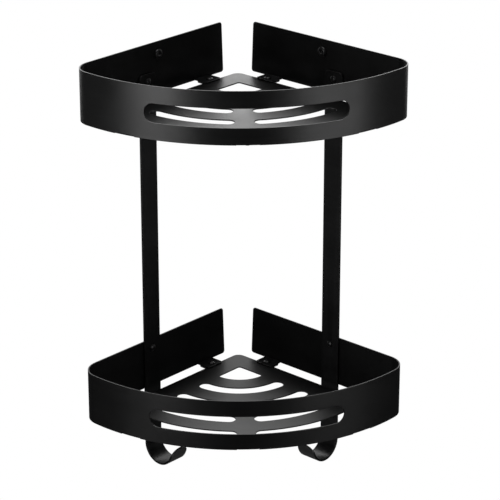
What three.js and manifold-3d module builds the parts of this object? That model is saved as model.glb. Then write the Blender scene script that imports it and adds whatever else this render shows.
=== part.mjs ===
// Two-tier corner caddy in black sheet aluminium, hung in the corner of a shower.
//
// Each tier is a bent rail, with a tray riveted under the tabs folded in from its lower edge.
// Two straps, riveted to both rails, join the tiers. Each ends in a hook under the lower tier.
// Two screws through the upper rail hold the caddy on the walls.
//
// Millimetres, +Z up. The Z axis is the line where the two walls meet, the room is towards -Y, and
// z = 0 is the height of the two wall screws.

import * as THREE from 'three';
import { mergeVertices, toCreasedNormals } from 'three/addons/utils/BufferGeometryUtils.js';
import Module from 'manifold-3d';

const wasm = await Module();
wasm.setup();

// ---- driving dimensions -----------------------------------------------------------------------

const wallLength = 210;         // from the corner to where a rail's back wall would meet its front
const tierSpacing = 283.5;      // from one rail's lower edge to the other's
const railHeight = 47.5;
const railSheet = 1.2;          // thickness of a rail
const railCornerRadius = 21;    // outer bend between a back wall and the front
const frontCentre = 38;         // from the corner to the centre of the front's curve
const wallEndGap = 21.5;        // from the corner to a back wall's upper free end
const wallEndSlant = 2;         // how much nearer to the corner the lower end is
const wallEndRounding = 3;

const slotLength = 180;         // long slot in the front, along its curve
const slotHeight = 17;

const tabWidth = 19.5;          // tabs folded in under a rail, which carry the tray
const tabLength = 16;
const tabRounding = 3;
const tabRivetInset = 6;        // from a tab's end to its rivet
const cornerTabPlace = 47.5;    // from the corner to the middle of a back wall's tab
const frontTabAngle = 34;       // degrees from the middle of the front to a side tab

const traySheet = 1.2;
const traySideGap = 12;         // from a wall to the tray's straight edge
const trayFrontGap = 5;         // from the rail's outer face to the tray's front edge
const trayApexRadius = 7;
const trayCornerRadius = 14;
const lugGap = 3;               // from a wall to the end of the lug under a back wall's tab

const openingCentre = 48.5;     // from the corner to the centre of the tray's curved openings
const openingMargin = 33;       // from a wall to where the openings end
const openingWidth = 12;        // width of one curved opening
const openingPitch = 30;        // from one curved opening to the next
const firstOpeningRadius = 46;  // inner radius of the curved opening nearest to the corner
const bridgeWidth = 17;         // solid strip that splits the outer openings in the middle
const trayRim = 14;             // least width left between the last opening and the front edge
const triangleRounding = 2.5;

const strapWidth = 20;
const strapSheet = 2;
const strapPlace = 120;         // from the corner to the middle of a strap
const strapEndRounding = 4;
const strapEndRise = 7;         // from the strap's upper rivet to its upper end
const upperRivetRise = 14;      // from the upper rail's lower edge to the strap's upper rivet
const lowerRivetDrop = 8;       // from the lower rail's upper edge to the strap's lower rivet

const hookDrop = 55;            // from the lower rail's lower edge to the start of the hook's bend
const hookRadius = 16.5;        // to the middle of the sheet
const hookTurn = 65;            // degrees that the hook goes on after its lowest point
const hookTip = 11;             // straight length after the bend
const hookTipRounding = 9.5;

const rivetShank = 1.6;         // radii and heights of the fasteners
const rivetHead = 3.4;
const rivetHeadHeight = 1.4;
const rivetTail = 2.8;
const rivetTailEnd = 2.2;
const rivetTailHeight = 0.8;

const screwPlace = 105;         // from the corner to a wall screw
const screwBelowEdge = 11.5;    // from the upper rail's upper edge to a wall screw
const screwShank = 2;
const screwReach = 10;          // how far the screw stands out behind the rail
const screwTip = 1.2;
const screwHead = 4.6;
const screwHeadHeight = 2.2;
const screwRim = 0.6;           // height of the head's straight edge
const screwSocket = 1.5;
const screwSocketDepth = 1.3;

const clearance = 0.3;          // between pieces that touch
const flush = 0.05;             // how far a countersunk rivet end lies under its surface

// ---- sizes that follow from them --------------------------------------------------------------

const wallAngle = Math.PI / 4;  // between each wall and the middle plane
const upperBase = screwBelowEdge - railHeight;
const lowerBase = upperBase - tierSpacing;

const frontRadius = Math.hypot(
  wallLength * Math.sin(wallAngle),
  wallLength * Math.cos(wallAngle) - frontCentre,
);
const trayFrontRadius = frontRadius - trayFrontGap;
const trayTop = -clearance;     // above the rail's lower edge
const trayBottom = trayTop - traySheet;

const strapDepth = railSheet + clearance + strapSheet / 2;  // from the wall to the strap's middle
const strapFace = strapDepth + strapSheet / 2;
const holeRadius = rivetShank + clearance;
const sides = [{ name: 'left', sign: -1 }, { name: 'right', sign: 1 }];
const tiers = [
  { name: 'upper', base: upperBase, strapRivet: upperBase + upperRivetRise },
  { name: 'lower', base: lowerBase, strapRivet: lowerBase + railHeight - lowerRivetDrop },
];

const cutReach = 4;             // how far a cutter runs past the sheet that it cuts

const arcStep = THREE.MathUtils.degToRad(3);
const bendStep = THREE.MathUtils.degToRad(9);
const capStep = THREE.MathUtils.degToRad(22.5);
const roundSegments = 24;
const cornerSegments = 5;

// ---- materials --------------------------------------------------------------------------------

const satinBlack = new THREE.MeshStandardMaterial({ color: 0x141414, metalness: 0.6, roughness: 0.38 });
const rivetBlack = new THREE.MeshStandardMaterial({ color: 0x1c1c1c, metalness: 0.7, roughness: 0.3 });
const screwBlack = new THREE.MeshStandardMaterial({ color: 0x222222, metalness: 0.85, roughness: 0.28 });

// ---- places on a wall and round the front ------------------------------------------------------

// A plan point: so far along a side's wall from the corner, and so far out from the wall.
function wallPoint(sign, along, out) {
  const s = Math.sin(wallAngle);
  const c = Math.cos(wallAngle);
  return new THREE.Vector2(sign * (along * s - out * c), -along * c - out * s);
}

// The direction that points out of a side's wall into the room.
function wallNormal(sign) {
  return new THREE.Vector3(-sign * Math.cos(wallAngle), -Math.sin(wallAngle), 0);
}

// A plan point round a centre that lies so far out from the corner; angle 0 is the middle plane.
function roundPoint(centre, radius, angle) {
  return new THREE.Vector2(radius * Math.sin(angle), -centre - radius * Math.cos(angle));
}

// Points of an arc about a centre, both ends included.
function arcPoints(centre, radius, start, end, step = arcStep) {
  const count = Math.max(2, Math.ceil(Math.abs(end - start) / step));
  return Array.from({ length: count + 1 }, (_, i) => {
    const angle = start + (end - start) * i / count;
    return new THREE.Vector2(centre.x + radius * Math.cos(angle), centre.y + radius * Math.sin(angle));
  });
}

// Where along a wall the centre of a circle lies that touches the line `out` from the wall and,
// from inside, the front curve of the given radius.
function cornerCentre(out, radius, rounding) {
  const depth = out + rounding;
  const reach = frontCentre * Math.cos(wallAngle);
  const drop = depth - frontCentre * Math.sin(wallAngle);
  return reach + Math.sqrt((radius - rounding) ** 2 - drop ** 2);
}

// Half of a tier's outline on the right-hand side, from the wall to the middle of the front.
function halfOutline(out, radius, rounding, startAlong) {
  const bendAlong = cornerCentre(out, radius, rounding);
  const centre = wallPoint(1, bendAlong, out + rounding);
  const wallSide = Math.atan2(Math.sin(wallAngle), Math.cos(wallAngle));
  const frontSide = Math.atan2(centre.y + frontCentre, centre.x);
  const start = startAlong === null ? [] : [wallPoint(1, startAlong, out)];
  const bend = arcPoints(centre, rounding, wallSide, frontSide, bendStep);
  const front = arcPoints(new THREE.Vector2(0, -frontCentre), radius, frontSide, -Math.PI / 2);
  return [...start, ...bend, ...front.slice(1)];
}

const mirrored = (points) => points.map((p) => new THREE.Vector2(-p.x, p.y)).reverse();

// ---- solids -----------------------------------------------------------------------------------

function extrudeUp(shape, low, high) {
  const geometry = new THREE.ExtrudeGeometry(shape, {
    depth: high - low, bevelEnabled: false, curveSegments: roundSegments,
  });
  return geometry.translate(0, 0, low);
}

function toSolid(geometry) {
  const plain = geometry.clone();
  plain.deleteAttribute('normal');
  plain.deleteAttribute('uv');
  const merged = mergeVertices(plain, 1e-4);
  return new wasm.Manifold(new wasm.Mesh({
    numProp: 3,
    vertProperties: new Float32Array(merged.attributes.position.array),
    triVerts: new Uint32Array(merged.index.array),
  }));
}

function toGeometry(solid) {
  const mesh = solid.getMesh();
  const geometry = new THREE.BufferGeometry();
  geometry.setAttribute('position', new THREE.BufferAttribute(mesh.vertProperties, 3));
  geometry.setIndex(new THREE.BufferAttribute(mesh.triVerts, 1));
  return toCreasedNormals(geometry, Math.PI / 6);
}

function combine(base, added, cut) {
  let solid = toSolid(base);
  for (const geometry of added) solid = solid.add(toSolid(geometry));
  for (const geometry of cut) solid = solid.subtract(toSolid(geometry));
  return toGeometry(solid);
}

// Turns a piece made round +Z so that it points out of a side's wall, at a place on that wall.
function ontoWall(geometry, sign, along, out, height) {
  const turn = new THREE.Quaternion().setFromUnitVectors(new THREE.Vector3(0, 0, 1), wallNormal(sign));
  const place = wallPoint(sign, along, out);
  return geometry.applyQuaternion(turn).translate(place.x, place.y, height);
}

// A round bar along +Z between two heights, with its radius at each end.
function roundBar(low, high, lowRadius, highRadius = lowRadius) {
  const profile = [[0, low], [lowRadius, low], [highRadius, high], [0, high]];
  return new THREE.LatheGeometry(profile.map(([r, h]) => new THREE.Vector2(r, h)), roundSegments)
    .rotateX(Math.PI / 2);
}

// A domed rivet along +Z: its shank fills from `low` to `high`, the head stands on `high`. Its other
// end is a tail below `low`, or, where it is countersunk, a cone that narrows upwards from `low`.
function rivet(low, high, tailHeight, countersunk) {
  const sphere = (rivetHead ** 2 + rivetHeadHeight ** 2) / (2 * rivetHeadHeight);
  const dome = Array.from({ length: cornerSegments + 1 }, (_, i) => {
    const radius = rivetHead * (1 - i / cornerSegments);
    const rise = Math.sqrt(sphere ** 2 - radius ** 2) - (sphere - rivetHeadHeight);
    return [radius, high + rise];
  });
  const tail = countersunk
    ? [[0, low], [rivetTail, low], [rivetShank, low + tailHeight]]
    : [[0, low - tailHeight], [rivetTailEnd, low - tailHeight], [rivetTail, low - tailHeight / 2],
      [rivetTail, low], [rivetShank, low]];
  const profile = [...tail, [rivetShank, high], ...dome];
  return new THREE.LatheGeometry(profile.map(([r, h]) => new THREE.Vector2(r, h)), roundSegments)
    .rotateX(Math.PI / 2);
}

// ---- rail -------------------------------------------------------------------------------------

// Cuts a back wall's free end to its slanted, rounded shape.
function wallEndCutter(sign, base) {
  const reach = railHeight;
  const lower = wallEndGap - wallEndSlant;
  const shape = new THREE.Shape();
  shape.moveTo(lower - reach, -reach);
  shape.lineTo(lower + wallEndRounding, -reach);
  shape.lineTo(lower + wallEndRounding, 0);
  shape.quadraticCurveTo(lower, 0, lower + wallEndSlant * wallEndRounding / railHeight, wallEndRounding);
  shape.lineTo(wallEndGap, railHeight - wallEndRounding);
  shape.quadraticCurveTo(wallEndGap, railHeight, wallEndGap + wallEndRounding, railHeight);
  shape.lineTo(wallEndGap + wallEndRounding, railHeight + reach);
  shape.lineTo(lower - reach, railHeight + reach);
  const depth = cutReach * 2;
  const geometry = new THREE.ExtrudeGeometry(shape, {
    depth, bevelEnabled: false, curveSegments: cornerSegments,
  });
  const along = wallPoint(sign, 1, 0);
  const basis = new THREE.Matrix4().makeBasis(
    new THREE.Vector3(along.x, along.y, 0),
    new THREE.Vector3(0, 0, 1),
    wallNormal(sign).multiplyScalar(sign),
  );
  return geometry.translate(0, 0, -depth / 2).applyMatrix4(basis).translate(0, 0, base);
}

// The long slot's cutters: a curved block with a round bar across each end.
function slotCutters(base) {
  const rounding = slotHeight / 2;
  const middle = base + railHeight / 2;
  const endAngle = (slotLength / 2 - rounding) / frontRadius;
  const inner = frontRadius - cutReach;
  const outer = frontRadius + cutReach;
  const centre = new THREE.Vector2(0, -frontCentre);
  const from = -Math.PI / 2 - endAngle;
  const to = -Math.PI / 2 + endAngle;
  const block = new THREE.Shape([
    ...arcPoints(centre, outer, from, to),
    ...arcPoints(centre, inner, to, from),
  ]);
  const ends = [-1, 1].map((sign) => {
    const bar = roundBar(inner, outer, rounding).rotateX(Math.PI / 2).rotateZ(sign * endAngle);
    return bar.translate(0, -frontCentre, middle);
  });
  return [extrudeUp(block, middle - rounding, middle + rounding), ...ends];
}

// A rounded tab, as a plan shape between two places along and two distances out.
function tabShape(point, start, end) {
  const half = tabWidth / 2;
  const shape = new THREE.Shape();
  const go = (along, out) => point(along, out);
  const first = go(-half, start);
  shape.moveTo(first.x, first.y);
  const sideA = go(-half, end - tabRounding);
  shape.lineTo(sideA.x, sideA.y);
  const cornerA = go(-half, end);
  const endA = go(-half + tabRounding, end);
  shape.quadraticCurveTo(cornerA.x, cornerA.y, endA.x, endA.y);
  const endB = go(half - tabRounding, end);
  shape.lineTo(endB.x, endB.y);
  const cornerB = go(half, end);
  const sideB = go(half, end - tabRounding);
  shape.quadraticCurveTo(cornerB.x, cornerB.y, sideB.x, sideB.y);
  const last = go(half, start);
  shape.lineTo(last.x, last.y);
  return shape;
}

// The tabs of a tier: where each one stands, and where its rivet is.
const frontTabs = [-1, 0, 1].map((step) => {
  const angle = THREE.MathUtils.degToRad(frontTabAngle) * step;
  const across = new THREE.Vector2(Math.cos(angle), Math.sin(angle));
  const place = (along, inwards) => roundPoint(frontCentre, frontRadius - inwards, angle)
    .addScaledVector(across, along);
  return { name: `front_${['left', 'middle', 'right'][step + 1]}`, place };
});
const cornerTabs = sides.map(({ name, sign }) => ({
  name: `corner_${name}`,
  place: (along, out) => wallPoint(sign, cornerTabPlace + along, out),
}));
const tabs = [...cornerTabs, ...frontTabs];
const tabRivetPlace = (tab) => tab.place(0, tabLength - tabRivetInset);

function railGeometry({ base, strapRivet }, hasWallScrews) {
  const reach = wallEndGap - wallEndSlant - wallEndRounding;
  const outer = halfOutline(0, frontRadius, railCornerRadius, reach);
  const inner = halfOutline(railSheet, frontRadius - railSheet, railCornerRadius - railSheet, reach);
  const outerLine = [...outer, ...mirrored(outer).slice(1)];
  const innerLine = [...inner, ...mirrored(inner).slice(1)];
  const band = extrudeUp(new THREE.Shape([...outerLine, ...innerLine.reverse()]), base, base + railHeight);
  const folded = tabs.map((tab) => extrudeUp(
    tabShape(tab.place, railSheet / 2, tabLength), base, base + railSheet,
  ));
  const cuts = [...slotCutters(base)];
  for (const { sign } of sides) {
    cuts.push(wallEndCutter(sign, base));
    cuts.push(ontoWall(roundBar(-cutReach, cutReach, holeRadius), sign, strapPlace, 0, strapRivet));
    const sink = roundBar(0, railSheet, rivetTail + clearance, holeRadius);
    cuts.push(ontoWall(sink, sign, strapPlace, -flush, strapRivet));
    if (hasWallScrews) {
      const hole = roundBar(-cutReach, cutReach, screwShank + clearance);
      cuts.push(ontoWall(hole, sign, screwPlace, 0, 0));
    }
  }
  for (const tab of tabs) {
    const at = tabRivetPlace(tab);
    cuts.push(roundBar(base - cutReach, base + cutReach, holeRadius).translate(at.x, at.y, 0));
  }
  return combine(band, folded, cuts);
}

// ---- tray -------------------------------------------------------------------------------------

// The angle at which a circle of the given radius, centred on a curve so far from the openings'
// centre, touches the line where the openings end.
function openingEnd(distance, rounding) {
  const level = (openingMargin + rounding) / Math.cos(wallAngle) - openingCentre;
  return Math.acos(level / distance / Math.SQRT2) - wallAngle;
}

// A curved opening with round ends, as a closed path.
function curvedOpening(innerRadius, start, end) {
  const rounding = openingWidth / 2;
  const centre = new THREE.Vector2(0, -openingCentre);
  const down = -Math.PI / 2;
  const middle = innerRadius + rounding;
  const capAt = (angle) => roundPoint(openingCentre, middle, angle);
  return new THREE.Path([
    ...arcPoints(centre, innerRadius + openingWidth, down + start, down + end),
    ...arcPoints(capAt(end), rounding, down + end, down + end + Math.PI, capStep).slice(1, -1),
    ...arcPoints(centre, innerRadius, down + end, down + start),
    ...arcPoints(capAt(start), rounding, down + start + Math.PI, down + start + 2 * Math.PI, capStep)
      .slice(1, -1),
  ]);
}

// The three-cornered opening next to the corner: two sides follow the walls, one follows the front.
function triangleOpening() {
  const radius = firstOpeningRadius - openingPitch + openingWidth;
  const tip = openingEnd(radius, 0);
  const apexDrop = openingMargin / Math.cos(wallAngle);
  const soften = (corner, before, after) => {
    const enter = corner.clone().add(before.clone().sub(corner).setLength(triangleRounding));
    const leave = corner.clone().add(after.clone().sub(corner).setLength(triangleRounding));
    const curve = new THREE.QuadraticBezierCurve(enter, corner, leave);
    return curve.getPoints(cornerSegments);
  };
  const apex = new THREE.Vector2(0, -apexDrop);
  const right = roundPoint(openingCentre, radius, tip);
  const left = roundPoint(openingCentre, radius, -tip);
  const shave = triangleRounding / radius;
  const front = arcPoints(
    new THREE.Vector2(0, -openingCentre), radius, -Math.PI / 2 - tip + shave, -Math.PI / 2 + tip - shave,
  );
  const path = new THREE.Path([
    ...front.slice(1, -1),
    ...soften(right, front.at(-1), apex),
    ...soften(apex, right, left),
    ...soften(left, apex, front.at(0)),
  ]);
  return path;
}

function trayOpenings() {
  const rounding = openingWidth / 2;
  const openings = [triangleOpening()];
  const last = frontCentre + trayFrontRadius - openingCentre - trayRim - openingWidth;
  for (let radius = firstOpeningRadius; radius <= last; radius += openingPitch) {
    const middle = radius + rounding;
    const end = openingEnd(middle, rounding);
    const bridge = (bridgeWidth / 2 + rounding) / middle;
    const isFirst = radius === firstOpeningRadius;
    if (isFirst) openings.push(curvedOpening(radius, -end, end));
    else openings.push(curvedOpening(radius, -end, -bridge), curvedOpening(radius, bridge, end));
  }
  return openings;
}

function trayGeometry(base) {
  const half = halfOutline(traySideGap, trayFrontRadius, trayCornerRadius, null);
  const apexAlong = (traySideGap + trayApexRadius) * Math.tan(wallAngle);
  const apexCentre = wallPoint(1, apexAlong, traySideGap + trayApexRadius);
  const apex = arcPoints(apexCentre, trayApexRadius, Math.PI - wallAngle, wallAngle, bendStep);
  const shape = new THREE.Shape([...apex, ...half, ...mirrored(half).slice(1)]);
  shape.holes.push(...trayOpenings());
  const plate = extrudeUp(shape, base + trayBottom, base + trayTop);
  const lugs = sides.map(({ sign }) => {
    const place = (along, out) => wallPoint(sign, cornerTabPlace + along, traySideGap + lugGap - out);
    return extrudeUp(tabShape(place, 0, traySideGap), base + trayBottom, base + trayTop);
  });
  const holes = tabs.map((tab) => {
    const at = tabRivetPlace(tab);
    return roundBar(base - cutReach, base + cutReach, holeRadius).translate(at.x, at.y, 0);
  });
  return combine(plate, lugs, holes);
}

// ---- strap ------------------------------------------------------------------------------------

// The strap's middle line from its upper end to the hook's tip, as distance out and height, with
// the direction it runs in.
function strapLine() {
  const line = [];
  const top = upperBase + upperRivetRise + strapEndRise;
  const bendTop = lowerBase - hookDrop;
  for (let i = 0; i <= cornerSegments; i++) {
    const run = strapEndRounding * (1 - Math.cos(Math.PI / 2 * i / cornerSegments));
    line.push({ out: strapDepth, height: top - run, angle: -Math.PI / 2 });
  }
  const sweep = Math.PI / 2 + THREE.MathUtils.degToRad(hookTurn);
  const bendSteps = Math.ceil(sweep / arcStep);
  const centreOut = strapDepth + hookRadius;
  for (let i = 0; i <= bendSteps; i++) {
    const turned = Math.PI + sweep * i / bendSteps;
    line.push({
      out: centreOut + hookRadius * Math.cos(turned),
      height: bendTop + hookRadius * Math.sin(turned),
      angle: turned + Math.PI / 2,
    });
  }
  const bendEnd = line.at(-1);
  for (let i = cornerSegments; i >= 0; i--) {
    const run = hookTip - hookTipRounding * (1 - Math.cos(Math.PI / 2 * i / cornerSegments));
    line.push({
      out: bendEnd.out + run * Math.cos(bendEnd.angle),
      height: bendEnd.height + run * Math.sin(bendEnd.angle),
      angle: bendEnd.angle,
    });
  }
  return line;
}

// Half of the strap's width at a distance from one of its ends.
function roundedHalfWidth(fromEnd, rounding) {
  const half = strapWidth / 2;
  if (fromEnd >= rounding) return half;
  return half - rounding + Math.sqrt(rounding ** 2 - (rounding - fromEnd) ** 2);
}

function strapGeometry(sign) {
  const line = strapLine();
  const runs = [0];
  for (let i = 1; i < line.length; i++) {
    const step = Math.hypot(line[i].out - line[i - 1].out, line[i].height - line[i - 1].height);
    runs.push(runs[i - 1] + step);
  }
  const total = runs.at(-1);
  const positions = [];
  line.forEach(({ out, height, angle }, i) => {
    const half = Math.min(
      roundedHalfWidth(runs[i], strapEndRounding),
      roundedHalfWidth(total - runs[i], hookTipRounding),
    );
    const corners = [[-1, -1], [1, -1], [1, 1], [-1, 1]];
    for (const [across, face] of corners) {
      const shift = face * strapSheet / 2;
      const at = wallPoint(sign, strapPlace + across * half, out - shift * Math.sin(angle));
      positions.push(at.x, at.y, height + shift * Math.cos(angle));
    }
  });
  const triangles = [];
  const quad = (a, b, c, d) => triangles.push(...(sign > 0 ? [a, b, c, a, c, d] : [a, c, b, a, d, c]));
  for (let i = 0; i + 1 < line.length; i++) {
    for (let k = 0; k < 4; k++) {
      const next = (k + 1) % 4;
      quad(4 * i + k, 4 * i + next, 4 * i + 4 + next, 4 * i + 4 + k);
    }
  }
  const end = 4 * (line.length - 1);
  quad(3, 2, 1, 0);
  quad(end, end + 1, end + 2, end + 3);
  const geometry = new THREE.BufferGeometry();
  geometry.setAttribute('position', new THREE.Float32BufferAttribute(positions, 3));
  geometry.setIndex(triangles);
  const holes = tiers.map(({ strapRivet }) => {
    const bar = roundBar(-cutReach, strapFace + cutReach, holeRadius);
    return ontoWall(bar, sign, strapPlace, 0, strapRivet);
  });
  return combine(geometry, [], holes);
}

// ---- wall screws ------------------------------------------------------------------------------

// A domed screw along +Z with a six-sided socket, its head's underside at `seat`.
function screwGeometry(seat) {
  const headTop = seat + screwHeadHeight;
  const crown = Array.from({ length: cornerSegments + 1 }, (_, i) => {
    const angle = Math.PI / 2 * i / cornerSegments;
    const rise = (screwHeadHeight - screwRim) * Math.sin(angle);
    return [i < cornerSegments ? screwHead * Math.cos(angle) : 0, seat + screwRim + rise];
  });
  const profile = [
    [0, -screwReach], [screwTip, -screwReach], [screwShank, -screwReach + screwShank],
    [screwShank, seat], [screwHead, seat], ...crown,
  ];
  const body = new THREE.LatheGeometry(profile.map(([r, h]) => new THREE.Vector2(r, h)), roundSegments)
    .rotateX(Math.PI / 2);
  const socket = new THREE.CylinderGeometry(screwSocket, screwSocket, screwSocketDepth * 2, 6)
    .rotateX(Math.PI / 2).translate(0, 0, headTop);
  return combine(body, [], [socket]);
}

// ---- assembly ---------------------------------------------------------------------------------

function piece(name, geometry, material) {
  const mesh = new THREE.Mesh(geometry, material);
  mesh.name = name;
  return mesh;
}

function buildTier(tier) {
  const { name, base, strapRivet } = tier;
  const group = new THREE.Group();
  group.add(piece(`${name}_rail`, railGeometry(tier, name === 'upper'), satinBlack));
  group.add(piece(`${name}_tray`, trayGeometry(base), satinBlack));
  for (const tab of tabs) {
    const at = tabRivetPlace(tab);
    const low = base + trayBottom - clearance;
    const high = base + railSheet + clearance;
    const geometry = rivet(low, high, rivetTailHeight, false).translate(at.x, at.y, 0);
    group.add(piece(`${name}_tray_rivet_${tab.name}`, geometry, rivetBlack));
  }
  for (const side of sides) {
    const shank = rivet(0, strapFace + clearance, railSheet - flush, true);
    const geometry = ontoWall(shank, side.sign, strapPlace, 0, strapRivet);
    group.add(piece(`${name}_strap_rivet_${side.name}`, geometry, rivetBlack));
  }
  return group;
}

function buildSide({ name, sign }) {
  const group = new THREE.Group();
  group.add(piece(`${name}_strap`, strapGeometry(sign), satinBlack));
  const screw = ontoWall(screwGeometry(railSheet + clearance), sign, screwPlace, 0, 0);
  group.add(piece(`${name}_wall_screw`, screw, screwBlack));
  return group;
}

const caddy = new THREE.Group();
caddy.name = 'corner_caddy';
for (const tier of tiers) caddy.add(buildTier(tier));
for (const side of sides) caddy.add(buildSide(side));

export default caddy;
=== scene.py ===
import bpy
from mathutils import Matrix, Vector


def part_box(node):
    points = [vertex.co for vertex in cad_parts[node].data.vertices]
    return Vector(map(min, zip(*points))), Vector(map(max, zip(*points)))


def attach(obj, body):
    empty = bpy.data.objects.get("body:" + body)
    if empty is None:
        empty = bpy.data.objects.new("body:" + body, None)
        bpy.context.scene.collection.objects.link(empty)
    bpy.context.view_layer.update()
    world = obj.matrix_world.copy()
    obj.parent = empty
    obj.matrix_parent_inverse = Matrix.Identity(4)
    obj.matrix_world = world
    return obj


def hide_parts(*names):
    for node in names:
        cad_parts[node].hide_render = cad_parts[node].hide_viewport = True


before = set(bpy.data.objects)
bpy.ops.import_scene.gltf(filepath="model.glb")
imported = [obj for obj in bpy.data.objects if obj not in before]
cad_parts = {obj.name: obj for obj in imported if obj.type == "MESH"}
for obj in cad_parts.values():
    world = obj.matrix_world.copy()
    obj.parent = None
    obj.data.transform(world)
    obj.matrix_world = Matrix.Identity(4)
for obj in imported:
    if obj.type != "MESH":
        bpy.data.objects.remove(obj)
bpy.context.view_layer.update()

import math

import bmesh
import bpy
from mathutils import Vector

# Sizes are in millimetres, as in the CAD; pieces are placed in metres.
MM = 0.001

WALL_LENGTH = 210.0
RAIL_HEIGHT = 47.5
RAIL_SHEET = 1.2
RAIL_CORNER_RADIUS = 21.0
FRONT_CENTRE = 38.0
WALL_END_GAP = 21.5
WALL_END_SLANT = 2.0
WALL_END_ROUNDING = 3.0
SLOT_LENGTH = 180.0
SLOT_HEIGHT = 17.0

TAB_WIDTH = 19.5
TAB_LENGTH = 16.0
TAB_ROUNDING = 3.0
TAB_RIVET_INSET = 6.0
CORNER_TAB_PLACE = 47.5
FRONT_TAB_ANGLE = math.radians(34)
FOLD_RADIUS = 0.8
NOTCH_WIDTH = 0.1
NOTCH_TOP = 1.6

TRAY_SHEET = 1.2
TRAY_SIDE_GAP = 12.0
TRAY_FRONT_GAP = 5.0
TRAY_APEX_RADIUS = 7.0
TRAY_CORNER_RADIUS = 14.0
LUG_GAP = 3.0
OPENING_CENTRE = 48.5
OPENING_MARGIN = 33.0
OPENING_WIDTH = 12.0
OPENING_PITCH = 30.0
FIRST_OPENING_RADIUS = 46.0
BRIDGE_WIDTH = 17.0
TRAY_RIM = 14.0
TRIANGLE_ROUNDING = 2.5

STRAP_WIDTH = 20.0
STRAP_SHEET = 2.0
STRAP_PLACE = 120.0
STRAP_END_ROUNDING = 4.0
STRAP_END_RISE = 7.0
UPPER_RIVET_RISE = 14.0
LOWER_RIVET_DROP = 8.0
HOOK_DROP = 55.0
HOOK_RADIUS = 16.5
HOOK_TURN = math.radians(65)
HOOK_TIP = 11.0
HOOK_TIP_ROUNDING = 9.5

RIVET_SHANK = 1.6
RIVET_HEAD = 3.4
RIVET_HEAD_HEIGHT = 1.4
RIVET_TAIL = 2.8
RIVET_TAIL_HEIGHT = 0.8

SCREW_PLACE = 105.0
SCREW_SHANK = 2.0
SCREW_REACH = 10.0
SCREW_TIP = 1.2
SCREW_HEAD = 4.6
SCREW_HEAD_HEIGHT = 2.2
SCREW_RIM = 0.6
SCREW_SOCKET = 1.5
SCREW_SOCKET_DEPTH = 1.3

CLEARANCE = 0.3
FLUSH = 0.05

FRONT_RADIUS = math.hypot(WALL_LENGTH * math.sqrt(0.5), WALL_LENGTH * math.sqrt(0.5) - FRONT_CENTRE)
TRAY_FRONT_RADIUS = FRONT_RADIUS - TRAY_FRONT_GAP
STRAP_DEPTH = RAIL_SHEET + CLEARANCE + STRAP_SHEET / 2
HOLE_RADIUS = RIVET_SHANK + CLEARANCE
EDGE_ROUNDING = 0.28
SOCKET_SIDES = 6
SOCKET_CHAMFER = 0.3
SOCKET_LIP = SCREW_SOCKET * 1.3
LIP_ROUNDING = (0.15, 0.06)
SOCKET_POINT = 0.4       # how far the drilled point goes below the socket's floor
CROWN_FULLNESS = 0.8     # under 1 makes the screw's crown fuller than a quarter circle
BEND_ROWS = 34
WEIGHTED_NORMAL_WEIGHT = 80

# The stage is in metres, its greys and colours in linear light.
FLOOR = -0.72
FLOOR_HALF = 4.0
MIRRORED_GREY = 0.022    # what the metal mirrors of the floor and the world
ROOM_MIDDLE = -0.1       # where the caddy's middle is along Y
PAINT_DARK, PAINT_LIGHT = 0.6, 1.6
# The lighter colour of the edges: bare metal where the paint is worn, and a painted highlight on the rims.
EDGE_WEAR_AND_HIGHLIGHT_COLOUR = (0.03, 0.03, 0.031, 1)

CAMERA_PLACE = (-0.08386, -1.99642, 0.58279)
CAMERA_TARGET = (0.008234, -0.084, -0.1856)
CAMERA_LENS = 162.24
CAMERA_SENSOR = 36
CAMERA_REACH = 50

TIERS = {"upper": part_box("upper_rail")[0].z / MM, "lower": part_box("lower_rail")[0].z / MM}
SIDES = {"left": -1, "right": 1}
STRAP_RIVETS = {
    "upper": TIERS["upper"] + UPPER_RIVET_RISE,
    "lower": TIERS["lower"] + RAIL_HEIGHT - LOWER_RIVET_DROP,
}


# ---- plan geometry ---------------------------------------------------------------------------

def wall_point(sign, along, out):
    """So far along a side's wall from the corner, and so far out from the wall."""
    r = math.sqrt(0.5)
    return Vector((sign * (along - out) * r, -(along + out) * r))


def wall_normal(sign):
    """Out of a side's wall, into the room."""
    r = math.sqrt(0.5)
    return Vector((-sign * r, -r, 0.0))


def round_point(centre, radius, angle):
    """Round a centre so far out from the corner; angle 0 is the middle plane."""
    return Vector((radius * math.sin(angle), -centre - radius * math.cos(angle)))


def arc(centre, radius, start, end, step=math.radians(3)):
    """Points of an arc, both ends included."""
    count = max(2, math.ceil(abs(end - start) / step))
    angles = (start + (end - start) * i / count for i in range(count + 1))
    return [Vector((centre[0] + radius * math.cos(a), centre[1] + radius * math.sin(a))) for a in angles]


def corner_along(out, radius, rounding):
    """Where along a wall the circle lies that rounds the corner between the wall and the front."""
    drop = out + rounding - FRONT_CENTRE * math.sqrt(0.5)
    return FRONT_CENTRE * math.sqrt(0.5) + math.sqrt((radius - rounding) ** 2 - drop ** 2)


def rounded(corner, before, after, radius, count=5):
    """Points that round one corner of a polygon, with the given distance from corner to curve."""
    enter = corner + (before - corner).normalized() * radius
    leave = corner + (after - corner).normalized() * radius
    points = []
    for i in range(count + 1):
        t = i / count
        points.append(enter * (1 - t) ** 2 + corner * 2 * t * (1 - t) + leave * t ** 2)
    return points


def circle(centre, radius, count=28):
    return [Vector((centre[0] + radius * math.cos(math.tau * i / count),
                    centre[1] + radius * math.sin(math.tau * i / count))) for i in range(count)]


def mirrored(points):
    return [Vector((-p.x, p.y)) for p in reversed(points)]


# ---- sheet-metal pieces ----------------------------------------------------------------------

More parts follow.
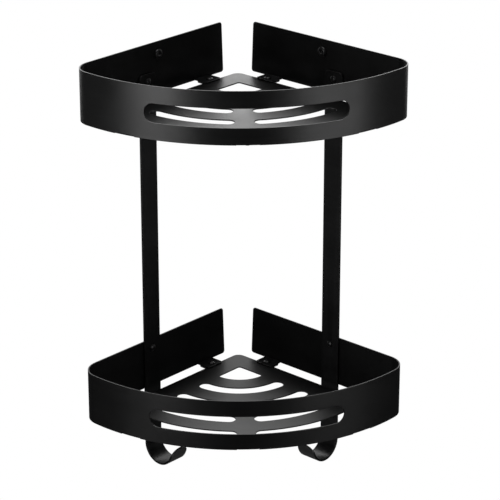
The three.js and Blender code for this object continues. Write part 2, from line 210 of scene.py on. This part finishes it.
def flat_sheet(outlines, thickness, columns=(), rows=()):
    """A flat plate with rounded edges, as a bmesh in millimetres, its faces cut at columns and rows."""
    curve = bpy.data.curves.new("outline", "CURVE")
    curve.dimensions = "2D"
    curve.fill_mode = "BOTH"
    curve.extrude = thickness / 2 - EDGE_ROUNDING
    curve.bevel_depth = EDGE_ROUNDING
    curve.bevel_resolution = 2
    curve.offset = -EDGE_ROUNDING
    for points in outlines:
        spline = curve.splines.new("POLY")
        spline.points.add(len(points) - 1)
        for target, point in zip(spline.points, points):
            target.co = (point[0], point[1], 0.0, 1.0)
        spline.use_cyclic_u = True
    carrier = bpy.data.objects.new("outline", curve)
    bpy.context.scene.collection.objects.link(carrier)
    bpy.context.view_layer.update()
    flat = bpy.data.meshes.new_from_object(carrier.evaluated_get(bpy.context.evaluated_depsgraph_get()))
    bpy.data.objects.remove(carrier)
    bpy.data.curves.remove(curve)
    bm = bmesh.new()
    bm.from_mesh(flat)
    bpy.data.meshes.remove(flat)
    bmesh.ops.remove_doubles(bm, verts=bm.verts, dist=1e-4)
    for axis, cuts in ((Vector((1, 0, 0)), columns), (Vector((0, 1, 0)), rows)):
        for cut in cuts:
            geom = bm.verts[:] + bm.edges[:] + bm.faces[:]
            bmesh.ops.bisect_plane(bm, geom=geom, dist=1e-5, plane_co=axis * cut, plane_no=axis)
    bmesh.ops.remove_doubles(bm, verts=bm.verts, dist=1e-4)
    return bm


def finish_piece(name, bm, place, material, slot, *nodes):
    """Puts each vertex of a bmesh where place says, and makes the piece that stands for the CAD nodes."""
    for vert in bm.verts:
        vert.co = place(*vert.co) * MM
    bmesh.ops.remove_doubles(bm, verts=bm.verts, dist=1e-7)
    bmesh.ops.recalc_face_normals(bm, faces=bm.faces)
    for face in bm.faces:
        face.smooth = True
    mesh = bpy.data.meshes.new(name)
    bm.to_mesh(mesh)
    bm.free()
    mesh.materials.append(material)
    piece = bpy.data.objects.new(name, mesh)
    bpy.context.scene.collection.objects.link(piece)
    weighted = piece.modifiers.new("Weighted normals", "WEIGHTED_NORMAL")
    weighted.mode = "FACE_AREA"
    weighted.weight = WEIGHTED_NORMAL_WEIGHT
    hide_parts(*nodes)
    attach(piece, "root")
    return piece


class RailPath:
    """The middle of a rail's sheet in plan, by distance from the middle of the front."""

    def __init__(self):
        half = RAIL_SHEET / 2
        self.bend_along = corner_along(0, FRONT_RADIUS, RAIL_CORNER_RADIUS)
        self.bend_centre = wall_point(1, self.bend_along, RAIL_CORNER_RADIUS)
        self.front_radius = FRONT_RADIUS - half
        self.bend_radius = RAIL_CORNER_RADIUS - half
        rise = self.bend_centre.y + FRONT_CENTRE
        self.front_angle = math.atan2(self.bend_centre.x, -rise)
        self.bend_angle = math.radians(135) - self.front_angle
        self.front_end = self.front_radius * self.front_angle
        self.wall_start = self.front_end + self.bend_radius * self.bend_angle

    def at_wall(self, along):
        return self.wall_start + self.bend_along - along

    def at(self, distance):
        """The point and the outward direction at a distance from the middle of the front."""
        s = abs(distance)
        if s <= self.front_end:
            angle = s / self.front_radius
            out = Vector((math.sin(angle), -math.cos(angle)))
            point = round_point(FRONT_CENTRE, self.front_radius, angle)
        elif s <= self.wall_start:
            angle = self.front_angle + (s - self.front_end) / self.bend_radius
            out = Vector((math.sin(angle), -math.cos(angle)))
            point = self.bend_centre + out * self.bend_radius
        else:
            out = -wall_normal(1).xy
            point = wall_point(1, self.bend_along - (s - self.wall_start), RAIL_SHEET / 2)
        if distance < 0:
            return Vector((-point.x, point.y)), Vector((-out.x, out.y))
        return point, out


PATH = RailPath()
FRONT_TABS = [PATH.front_radius * FRONT_TAB_ANGLE * step for step in (-1, 0, 1)]
TABS = [-PATH.at_wall(CORNER_TAB_PLACE), *FRONT_TABS, PATH.at_wall(CORNER_TAB_PLACE)]
FOLD_TOP = RAIL_SHEET / 2 + FOLD_RADIUS
FOLD_END = FOLD_TOP - FOLD_RADIUS * math.pi / 2
TAB_END = FOLD_END - (TAB_LENGTH - RAIL_SHEET / 2 - FOLD_RADIUS)


def rail_outlines(tier, base):
    half = TAB_WIDTH / 2
    end_low = PATH.at_wall(WALL_END_GAP - WALL_END_SLANT)
    end_high = PATH.at_wall(WALL_END_GAP)
    V = Vector
    lower = []
    for c in TABS:
        lower += [V((c - half - NOTCH_WIDTH, 0)), V((c - half - NOTCH_WIDTH, NOTCH_TOP))]
        lower += [V((c - half, NOTCH_TOP))]
        corner_a, corner_b = V((c - half, TAB_END)), V((c + half, TAB_END))
        lower += rounded(corner_a, V((c - half, 0)), corner_b, TAB_ROUNDING)
        lower += rounded(corner_b, corner_a, V((c + half, 0)), TAB_ROUNDING)
        lower += [V((c + half, NOTCH_TOP)), V((c + half + NOTCH_WIDTH, NOTCH_TOP))]
        lower += [V((c + half + NOTCH_WIDTH, 0))]
    low, high = V((end_low, 0)), V((end_high, RAIL_HEIGHT))
    right_end = rounded(low, V((0, 0)), high, WALL_END_ROUNDING)
    right_end += rounded(high, low, V((0, RAIL_HEIGHT)), WALL_END_ROUNDING)
    outline = lower + right_end + mirrored(right_end)
    slot_half = SLOT_LENGTH / 2 * PATH.front_radius / FRONT_RADIUS - SLOT_HEIGHT / 2
    middle = RAIL_HEIGHT / 2
    slot = arc((slot_half, middle), SLOT_HEIGHT / 2, -math.pi / 2, math.pi / 2, math.radians(9))
    slot += arc((-slot_half, middle), SLOT_HEIGHT / 2, math.pi / 2, math.pi * 1.5, math.radians(9))
    outlines = [outline, slot]
    for sign in (-1, 1):
        strap = sign * PATH.at_wall(STRAP_PLACE)
        outlines.append(circle((strap, STRAP_RIVETS[tier] - base), HOLE_RADIUS))
        if tier == "upper":
            outlines.append(circle((sign * PATH.at_wall(SCREW_PLACE), -base), SCREW_SHANK + CLEARANCE))
    rivet_at = TAB_END + TAB_RIVET_INSET
    outlines += [circle((c, rivet_at), HOLE_RADIUS) for c in TABS]
    return outlines


def rail_columns():
    step = math.radians(1.6)
    count = math.ceil(PATH.front_angle / step)
    front = [PATH.front_end * i / count for i in range(count + 1)]
    count = math.ceil(PATH.bend_angle / math.radians(5))
    bend = [PATH.front_end + PATH.bend_radius * PATH.bend_angle * i / count for i in range(1, count + 1)]
    half = front + bend
    return sorted([-s for s in half[1:]] + half)


def make_rail(tier, base, material):
    reach = TAB_WIDTH / 2 + 0.1

    def place(s, t, n):
        point, out = PATH.at(s)
        if t >= FOLD_TOP or all(abs(s - c) > reach for c in TABS):
            at = point + out * n
            return Vector((at.x, at.y, base + t))
        turn = min((FOLD_TOP - t) / FOLD_RADIUS, math.pi / 2)
        beyond = max(FOLD_END - t, 0.0)
        inward = FOLD_RADIUS * (1 - math.cos(turn)) + beyond - n * math.cos(turn)
        at = point - out * inward
        return Vector((at.x, at.y, base + FOLD_TOP - (FOLD_RADIUS + n) * math.sin(turn)))

    fold_rows = [FOLD_TOP + (FOLD_END - FOLD_TOP) * i / 6 for i in range(7)]
    bm = flat_sheet(rail_outlines(tier, base), RAIL_SHEET, rail_columns(), fold_rows)
    return finish_piece(f"{tier}_rail_sheet", bm, place, material, "black_sheet", f"{tier}_rail")


def opening_end(distance, rounding):
    """The angle at which a circle so far from the openings' centre touches the openings' margin."""
    level = (OPENING_MARGIN + rounding) * math.sqrt(2) - OPENING_CENTRE
    return math.acos(level / distance / math.sqrt(2)) - math.radians(45)


def curved_opening(inner, start, end):
    rounding = OPENING_WIDTH / 2
    centre = (0, -OPENING_CENTRE)
    down = -math.pi / 2
    middle = inner + rounding
    step = math.radians(2)
    cap = math.radians(15)
    far = arc(centre, inner + OPENING_WIDTH, down + start, down + end, step)
    near = arc(centre, inner, down + end, down + start, step)
    turn = down + start + math.pi
    end_cap = arc(round_point(OPENING_CENTRE, middle, end), rounding, down + end, down + end + math.pi, cap)
    start_cap = arc(round_point(OPENING_CENTRE, middle, start), rounding, turn, turn + math.pi, cap)
    return far + end_cap[1:-1] + near + start_cap[1:-1]


def tray_outlines():
    bend_along = corner_along(TRAY_SIDE_GAP, TRAY_FRONT_RADIUS, TRAY_CORNER_RADIUS)
    centre = wall_point(1, bend_along, TRAY_SIDE_GAP + TRAY_CORNER_RADIUS)
    front_side = math.atan2(centre.y + FRONT_CENTRE, centre.x)
    lug_half = TAB_WIDTH / 2
    apex_along = TRAY_SIDE_GAP + TRAY_APEX_RADIUS
    apex_centre = wall_point(1, apex_along, TRAY_SIDE_GAP + TRAY_APEX_RADIUS)
    half = arc(apex_centre, TRAY_APEX_RADIUS, math.pi / 2, math.pi / 4, math.radians(5))
    near, far = CORNER_TAB_PLACE - lug_half, CORNER_TAB_PLACE + lug_half
    lug = [wall_point(1, near, LUG_GAP), wall_point(1, far, LUG_GAP)]
    roots = [wall_point(1, near, TRAY_SIDE_GAP), wall_point(1, far, TRAY_SIDE_GAP)]
    half += [roots[0], *rounded(lug[0], roots[0], lug[1], TAB_ROUNDING)]
    half += [*rounded(lug[1], lug[0], roots[1], TAB_ROUNDING), roots[1]]
    half += arc(centre, TRAY_CORNER_RADIUS, math.pi / 4, front_side, math.radians(4))
    half += arc((0, -FRONT_CENTRE), TRAY_FRONT_RADIUS, front_side, -math.pi / 2, math.radians(2))[1:]
    outline = half + mirrored(half)[1:-1]

    radius = FIRST_OPENING_RADIUS - OPENING_PITCH + OPENING_WIDTH
    tip = opening_end(radius, 0)
    apex = Vector((0, -OPENING_MARGIN * math.sqrt(2)))
    right, left = (round_point(OPENING_CENTRE, radius, angle) for angle in (tip, -tip))
    shave = TRIANGLE_ROUNDING / radius
    down = -math.pi / 2
    front = arc((0, -OPENING_CENTRE), radius, down - tip + shave, down + tip - shave, math.radians(4))
    triangle = front[1:-1] + rounded(right, front[-1], apex, TRIANGLE_ROUNDING)
    triangle += rounded(apex, right, left, TRIANGLE_ROUNDING)
    triangle += rounded(left, apex, front[0], TRIANGLE_ROUNDING)

    outlines = [outline, triangle]
    rounding = OPENING_WIDTH / 2
    last = FRONT_CENTRE + TRAY_FRONT_RADIUS - OPENING_CENTRE - TRAY_RIM - OPENING_WIDTH
    inner = FIRST_OPENING_RADIUS
    while inner <= last:
        middle = inner + rounding
        end = opening_end(middle, rounding)
        if inner == FIRST_OPENING_RADIUS:
            outlines.append(curved_opening(inner, -end, end))
        else:
            bridge = (BRIDGE_WIDTH / 2 + rounding) / middle
            outlines.append(curved_opening(inner, -end, -bridge))
            outlines.append(curved_opening(inner, bridge, end))
        inner += OPENING_PITCH
    return outlines + [circle(place, HOLE_RADIUS) for place in tray_rivet_places().values()]


def tray_rivet_places():
    inset = TAB_LENGTH - TAB_RIVET_INSET
    places = {f"corner_{name}": wall_point(sign, CORNER_TAB_PLACE, inset) for name, sign in SIDES.items()}
    for name, step in (("left", -1), ("middle", 0), ("right", 1)):
        places[f"front_{name}"] = round_point(FRONT_CENTRE, FRONT_RADIUS - inset, FRONT_TAB_ANGLE * step)
    return places


def make_tray(tier, base, material):
    height = base - CLEARANCE - TRAY_SHEET / 2
    bm = flat_sheet(tray_outlines(), TRAY_SHEET)
    place = along_z(0, 0, height)
    return finish_piece(f"{tier}_tray_sheet", bm, place, material, "black_sheet", f"{tier}_tray")


def make_strap(side, sign, material):
    top = STRAP_RIVETS["upper"] + STRAP_END_RISE
    straight = top - (TIERS["lower"] - HOOK_DROP)
    sweep = math.pi / 2 + HOOK_TURN
    bend_end = straight + HOOK_RADIUS * sweep
    total = bend_end + HOOK_TIP
    half = STRAP_WIDTH / 2
    corners = [Vector((-half, 0)), Vector((half, 0)), Vector((half, total)), Vector((-half, total))]
    outline = []
    for i, corner in enumerate(corners):
        radius = STRAP_END_ROUNDING if i < 2 else HOOK_TIP_ROUNDING
        centre = corner + Vector((radius if i in (0, 3) else -radius, radius if i < 2 else -radius))
        start = math.pi + math.pi / 2 * i
        outline += arc(centre, radius, start, start + math.pi / 2, math.radians(9))
    holes = [circle((0, top - height), HOLE_RADIUS) for height in STRAP_RIVETS.values()]

    def place(across, run, n):
        turn = min(max((run - straight) / HOOK_RADIUS, 0.0), sweep)
        beyond = max(run - bend_end, 0.0)
        fall = min(run, straight)
        out = STRAP_DEPTH + HOOK_RADIUS * (1 - math.cos(turn)) + beyond * math.sin(turn) + n * math.cos(turn)
        height = top - fall - HOOK_RADIUS * math.sin(turn) - beyond * math.cos(turn) + n * math.sin(turn)
        at = wall_point(sign, STRAP_PLACE + across, out)
        return Vector((at.x, at.y, height))

    rows = [straight + (bend_end - straight) * i / BEND_ROWS for i in range(BEND_ROWS + 1)]
    bm = flat_sheet([outline, *holes], STRAP_SHEET, rows=rows)
    return finish_piece(f"{side}_strap_sheet", bm, place, material, "black_sheet", f"{side}_strap")


# ---- fasteners -------------------------------------------------------------------------------

def turned(profile, segments=40):
    """A bmesh turned round +Z from (radius, height) points in millimetres.

    A third value in a point is a number of flat sides for its ring.
    """
    bm = bmesh.new()
    rings = []
    for radius, height, *flats in profile:
        if radius == 0:
            rings.append([bm.verts.new((0, 0, height))])
            continue
        ring = []
        for i in range(segments):
            a = math.tau * i / segments
            sector = math.tau / flats[0] if flats else 0
            r = radius * math.cos(sector / 2) / math.cos(a % sector - sector / 2) if flats else radius
            ring.append(bm.verts.new((r * math.cos(a), r * math.sin(a), height)))
        rings.append(ring)
    for lower, upper in zip(rings, rings[1:]):
        for i in range(segments):
            k = (i + 1) % segments
            corners = [lower[i % len(lower)], lower[k % len(lower)]]
            corners += [upper[k % len(upper)], upper[i % len(upper)]]
            bm.faces.new(list(dict.fromkeys(corners)))
    return bm


def softened(points, radius, count=3):
    """A profile with its inner corners rounded; the first and last points stay."""
    out = [points[0]]
    for before, corner, after in zip(points, points[1:], points[2:]):
        a, b, c = Vector(before), Vector(corner), Vector(after)
        r = min(radius, (a - b).length * 0.45, (c - b).length * 0.45)
        out += [tuple(p) for p in rounded(b, a, c, r, count)]
    return out + [points[-1]]


def along_z(x, y, z=0.0):
    return lambda px, py, pz: Vector((px + x, py + y, pz + z))


def out_of_wall(sign, along, height):
    """Turns +Z so that it points out of a side's wall, at a place on that wall."""
    at = wall_point(sign, along, 0)
    turn = Vector((0, 0, 1)).rotation_difference(wall_normal(sign))
    origin = Vector((at.x, at.y, height))
    return lambda px, py, pz: origin + turn @ Vector((px, py, pz))


def dome(low, count=8):
    sphere = (RIVET_HEAD ** 2 + RIVET_HEAD_HEIGHT ** 2) / (2 * RIVET_HEAD_HEIGHT)
    points = []
    for i in range(count + 1):
        radius = RIVET_HEAD * (1 - i / count)
        points.append((radius, low + math.sqrt(sphere ** 2 - radius ** 2) - (sphere - RIVET_HEAD_HEIGHT)))
    return points


def tray_rivet_profile(base):
    low = base - 2 * CLEARANCE - TRAY_SHEET
    high = base + RAIL_SHEET + CLEARANCE
    tail = softened([(0, low - RIVET_TAIL_HEIGHT), (RIVET_TAIL, low - RIVET_TAIL_HEIGHT), (RIVET_TAIL, low),
                     (RIVET_SHANK, low)], 0.5)
    return tail + [(RIVET_SHANK, high)] + dome(high)


def strap_rivet_profile():
    high = STRAP_DEPTH + STRAP_SHEET / 2 + CLEARANCE
    tail = [(0, 0), (RIVET_TAIL, 0), (RIVET_SHANK, RAIL_SHEET - FLUSH)]
    return softened(tail, 0.15) + [(RIVET_SHANK, high)] + dome(high)


def make_rivets(material):
    for tier, base in TIERS.items():
        for name, place in tray_rivet_places().items():
            node = f"{tier}_tray_rivet_{name}"
            bm = turned(tray_rivet_profile(base))
            finish_piece(f"{node}_turned", bm, along_z(place.x, place.y), material, "black_rivet", node)
        for side, sign in SIDES.items():
            node = f"{tier}_strap_rivet_{side}"
            bm = turned(strap_rivet_profile())
            place = out_of_wall(sign, STRAP_PLACE, STRAP_RIVETS[tier])
            finish_piece(f"{node}_turned", bm, place, material, "black_rivet", node)


def make_wall_screws(material):
    seat = RAIL_SHEET + CLEARANCE
    top = seat + SCREW_HEAD_HEIGHT
    rim = seat + SCREW_RIM
    below = softened([(0, -SCREW_REACH), (SCREW_TIP, -SCREW_REACH), (SCREW_SHANK, SCREW_SHANK - SCREW_REACH),
                      (SCREW_SHANK, seat), (SCREW_HEAD, seat), (SCREW_HEAD, rim)], 0.25)
    lip = SOCKET_LIP
    head = []
    for i in range(1, 9):
        angle = math.pi / 2 * i / 9
        radius = lip + (SCREW_HEAD - lip) * math.cos(angle) ** CROWN_FULLNESS
        head.append((radius, rim + (top - rim) * math.sin(angle)))
    socket = [(lip, top), (lip - LIP_ROUNDING[0], top - LIP_ROUNDING[1])]
    floor = top - SCREW_SOCKET_DEPTH
    sides = [(SCREW_SOCKET, top - SOCKET_CHAMFER, SOCKET_SIDES), (SCREW_SOCKET, floor, SOCKET_SIDES)]
    sides.append((0, floor - SOCKET_POINT))
    for side, sign in SIDES.items():
        node = f"{side}_wall_screw"
        bm = turned(below + head + socket + sides, 48)
        place = out_of_wall(sign, SCREW_PLACE, 0)
        finish_piece(f"{node}_turned", bm, place, material, "black_screw", node)


# ---- materials -------------------------------------------------------------------------------

def new_material(name):
    material = bpy.data.materials.new(name)
    material.use_nodes = True
    nodes = material.node_tree.nodes
    return material, nodes, material.node_tree.links, nodes["Principled BSDF"]


def add_noise(nodes, links, coords, scale, detail, low, high, stretch=(1, 1, 1)):
    """Noise in the object's own coordinates, brought to a range; gives the socket that carries it."""
    noise = nodes.new("ShaderNodeTexNoise")
    noise.inputs["Scale"].default_value = scale
    noise.inputs["Detail"].default_value = detail
    mapping = nodes.new("ShaderNodeMapping")
    mapping.inputs["Scale"].default_value = stretch
    links.new(coords.outputs["Object"], mapping.inputs["Vector"])
    links.new(mapping.outputs["Vector"], noise.inputs["Vector"])
    spread = nodes.new("ShaderNodeMapRange")
    spread.inputs["From Min"].default_value = 0.3
    spread.inputs["From Max"].default_value = 0.7
    spread.inputs["To Min"].default_value = low
    spread.inputs["To Max"].default_value = high
    links.new(noise.outputs["Fac"], spread.inputs["Value"])
    return spread.outputs["Result"]


def math_node(nodes, links, operation, first, second):
    node = nodes.new("ShaderNodeMath")
    node.operation = operation
    for socket, value in zip(node.inputs, (first, second)):
        if isinstance(value, (int, float)):
            socket.default_value = value
        else:
            links.new(value, socket)
    return node.outputs["Value"]


def satin_black(name, colour, roughness, grain, edge_wear_and_highlight):
    """Baked powder paint: a fine grain, a soft ripple, cloudy sheen, and a lighter bare-metal colour on the
    edges, which is worn paint and a painted edge highlight.
    """
    material, nodes, links, shader = new_material(name)
    coords = nodes.new("ShaderNodeTexCoord")
    geometry = nodes.new("ShaderNodeNewGeometry")

    grains = add_noise(nodes, links, coords, 1500, 3, 0, 1)
    ripple = add_noise(nodes, links, coords, 420, 2, 0, 1)
    cloud = add_noise(nodes, links, coords, 26, 4, -0.035, 0.035)
    patch = add_noise(nodes, links, coords, 160, 3, 0.3, 1)
    rolled = add_noise(nodes, links, coords, 30, 3, -0.02, 0.02, (0.5, 0.5, 30))

    # Convex edges, found by pointiness, get the lighter colour: worn paint and a painted edge highlight.
    edge = nodes.new("ShaderNodeMapRange")
    edge.inputs["From Min"].default_value = 0.52
    edge.inputs["From Max"].default_value = 0.62
    links.new(geometry.outputs["Pointiness"], edge.inputs["Value"])
    worn_and_highlit_edges = math_node(nodes, links, "MULTIPLY", edge.outputs["Result"], patch)
    worn_and_highlit_edges = math_node(nodes, links, "MULTIPLY", worn_and_highlit_edges, edge_wear_and_highlight)

    speckle = math_node(nodes, links, "MULTIPLY", grains, 0.05)
    rough = math_node(nodes, links, "ADD", cloud, speckle)
    rough = math_node(nodes, links, "ADD", rough, rolled)
    rough = math_node(nodes, links, "ADD", rough, roughness - 0.025)
    polish = math_node(nodes, links, "MULTIPLY", worn_and_highlit_edges, 0.12)
    links.new(math_node(nodes, links, "SUBTRACT", rough, polish), shader.inputs["Roughness"])

    paint = nodes.new("ShaderNodeMix")
    paint.data_type = "RGBA"
    paint.inputs["A"].default_value = (*[c * PAINT_DARK for c in colour], 1)
    paint.inputs["B"].default_value = (*[c * PAINT_LIGHT for c in colour], 1)
    links.new(grains, paint.inputs["Factor"])
    # Mixes the lighter edge colour into the paint: worn paint and a painted edge highlight.
    edge_wear_and_highlight_mix = nodes.new("ShaderNodeMix")
    edge_wear_and_highlight_mix.data_type = "RGBA"
    edge_wear_and_highlight_mix.inputs["B"].default_value = EDGE_WEAR_AND_HIGHLIGHT_COLOUR
    links.new(worn_and_highlit_edges, edge_wear_and_highlight_mix.inputs["Factor"])
    links.new(paint.outputs["Result"], edge_wear_and_highlight_mix.inputs["A"])
    links.new(edge_wear_and_highlight_mix.outputs["Result"], shader.inputs["Base Color"])

    height = math_node(nodes, links, "MULTIPLY", ripple, 0.5)
    height = math_node(nodes, links, "ADD", height, grains)
    bump = nodes.new("ShaderNodeBump")
    bump.inputs["Distance"].default_value = grain
    bump.inputs["Strength"].default_value = 0.6
    links.new(height, bump.inputs["Height"])
    links.new(bump.outputs["Normal"], shader.inputs["Normal"])
    return material


# The last number is how strongly the edges are lightened: worn paint and a painted edge highlight.
sheet_black = satin_black("sheet_black", (0.0028, 0.0028, 0.003), 0.36, 0.00002, 0.5)
rivet_black = satin_black("rivet_black", (0.005, 0.005, 0.0054), 0.34, 0.00001, 0.7)
screw_black = satin_black("screw_black", (0.009, 0.009, 0.0095), 0.3, 0.00001, 0.9)

for tier, base in TIERS.items():
    make_rail(tier, base, sheet_black)
    make_tray(tier, base, sheet_black)
for side, sign in SIDES.items():
    make_strap(side, sign, sheet_black)
make_rivets(rivet_black)
make_wall_screws(screw_black)

# ---- stage -----------------------------------------------------------------------------------

def shown_and_mirrored(nodes, links):
    """A surface that is plain white to the camera, and a grey that the glossy metal mirrors."""
    path = nodes.new("ShaderNodeLightPath")
    mix = nodes.new("ShaderNodeMixShader")
    shown, room = (nodes.new("ShaderNodeEmission"), nodes.new("ShaderNodeEmission"))
    shown.inputs["Color"].default_value = (1, 1, 1, 1)
    room.inputs["Color"].default_value = (MIRRORED_GREY, MIRRORED_GREY, MIRRORED_GREY, 1)
    links.new(path.outputs["Is Camera Ray"], mix.inputs["Fac"])
    links.new(room.outputs["Emission"], mix.inputs[1])
    links.new(shown.outputs["Emission"], mix.inputs[2])
    return mix.outputs["Shader"]


world = bpy.data.worlds.new("studio")
bpy.context.scene.world = world
world.use_nodes = True
world_nodes, world_links = world.node_tree.nodes, world.node_tree.links
world_nodes.clear()
world_out = world_nodes.new("ShaderNodeOutputWorld")
world_links.new(shown_and_mirrored(world_nodes, world_links), world_out.inputs["Surface"])

floor_material = bpy.data.materials.new("studio_floor")
floor_material.use_nodes = True
floor_nodes, floor_links = floor_material.node_tree.nodes, floor_material.node_tree.links
floor_nodes.clear()
floor_out = floor_nodes.new("ShaderNodeOutputMaterial")
floor_side = floor_nodes.new("ShaderNodeNewGeometry")
floor_mix = floor_nodes.new("ShaderNodeMixShader")
floor_links.new(floor_side.outputs["Backfacing"], floor_mix.inputs["Fac"])
floor_links.new(shown_and_mirrored(floor_nodes, floor_links), floor_mix.inputs[1])
floor_links.new(floor_nodes.new("ShaderNodeBsdfTransparent").outputs["BSDF"], floor_mix.inputs[2])
floor_links.new(floor_mix.outputs["Shader"], floor_out.inputs["Surface"])
floor_mesh = bpy.data.meshes.new("studio_floor")
floor_signs = ((-1, -1), (1, -1), (1, 1), (-1, 1))
floor_corners = [(x * FLOOR_HALF, y * FLOOR_HALF, FLOOR) for x, y in floor_signs]
floor_mesh.from_pydata(floor_corners, [], [(0, 1, 2, 3)])
floor_mesh.materials.append(floor_material)
floor = bpy.data.objects.new("studio_floor", floor_mesh)
bpy.context.scene.collection.objects.link(floor)


def panel(name, place, target, width, height, radiance):
    """A soft box that faces a point; what it gives off is set as brightness, whatever its size."""
    light = bpy.data.lights.new(name, "AREA")
    light.shape = "RECTANGLE"
    light.size, light.size_y = width, height
    light.energy = radiance * math.pi * width * height
    lamp = bpy.data.objects.new(name, light)
    lamp.location = place
    lamp.rotation_euler = (Vector(target) - Vector(place)).to_track_quat("-Z", "Y").to_euler()
    lamp.visible_camera = False
    bpy.context.scene.collection.objects.link(lamp)


def round_the_room(azimuth, distance, height):
    """A place round the caddy: azimuth 0 is straight in front, 90 is to its right."""
    angle = math.radians(azimuth)
    return distance * math.sin(angle), ROOM_MIDDLE - distance * math.cos(angle), height


def upright_panel(name, azimuth, distance, height, width, tall, radiance):
    place = round_the_room(azimuth, distance, height)
    panel(name, place, (0, ROOM_MIDDLE, height), width, tall, radiance)


# Name, azimuth in degrees, then metres: distance, height, width and tall; last the radiance.
for row in (
    ("left_panel", -47, 1.8, -0.2, 0.86, 0.95, 4.3),
    ("right_panel", 48, 1.4, -0.24, 0.97, 0.85, 2.0),
    ("left_side_panel", -98, 1.8, -0.24, 1.2, 0.9, 0.1),
    ("right_side_panel", 98, 1.8, -0.24, 1.2, 0.9, 0.08),
    ("far_back_panel", 180, 1.6, 0.3, 3.0, 1.3, 0.72),
    ("near_back_panel", 180, 0.65, 0.37, 0.9, 0.5, 2.3),
    ("back_left_panel", -147, 1.8, 0.0, 1.6, 1.1, 0.9),
    ("back_right_panel", 147, 1.8, 0.0, 1.6, 1.1, 0.9),
):
    upright_panel(*row)
panel("top_panel", (0, -0.2, 1.3), (0, ROOM_MIDDLE, 0), 1.6, 1.2, 2.0)
panel("under_panel", (0, -0.05, -0.7), (0, ROOM_MIDDLE, 0), 0.5, 0.4, 0.12)

camera = bpy.data.cameras.new("camera")
camera.lens = CAMERA_LENS
camera.sensor_width = CAMERA_SENSOR
camera.clip_end = CAMERA_REACH
eye = bpy.data.objects.new("camera", camera)
eye.location = CAMERA_PLACE
eye.rotation_euler = (Vector(CAMERA_TARGET) - eye.location).to_track_quat("-Z", "Y").to_euler()
bpy.context.scene.collection.objects.link(eye)
bpy.context.scene.camera = eye
bpy.context.scene.view_settings.view_transform = "Standard"
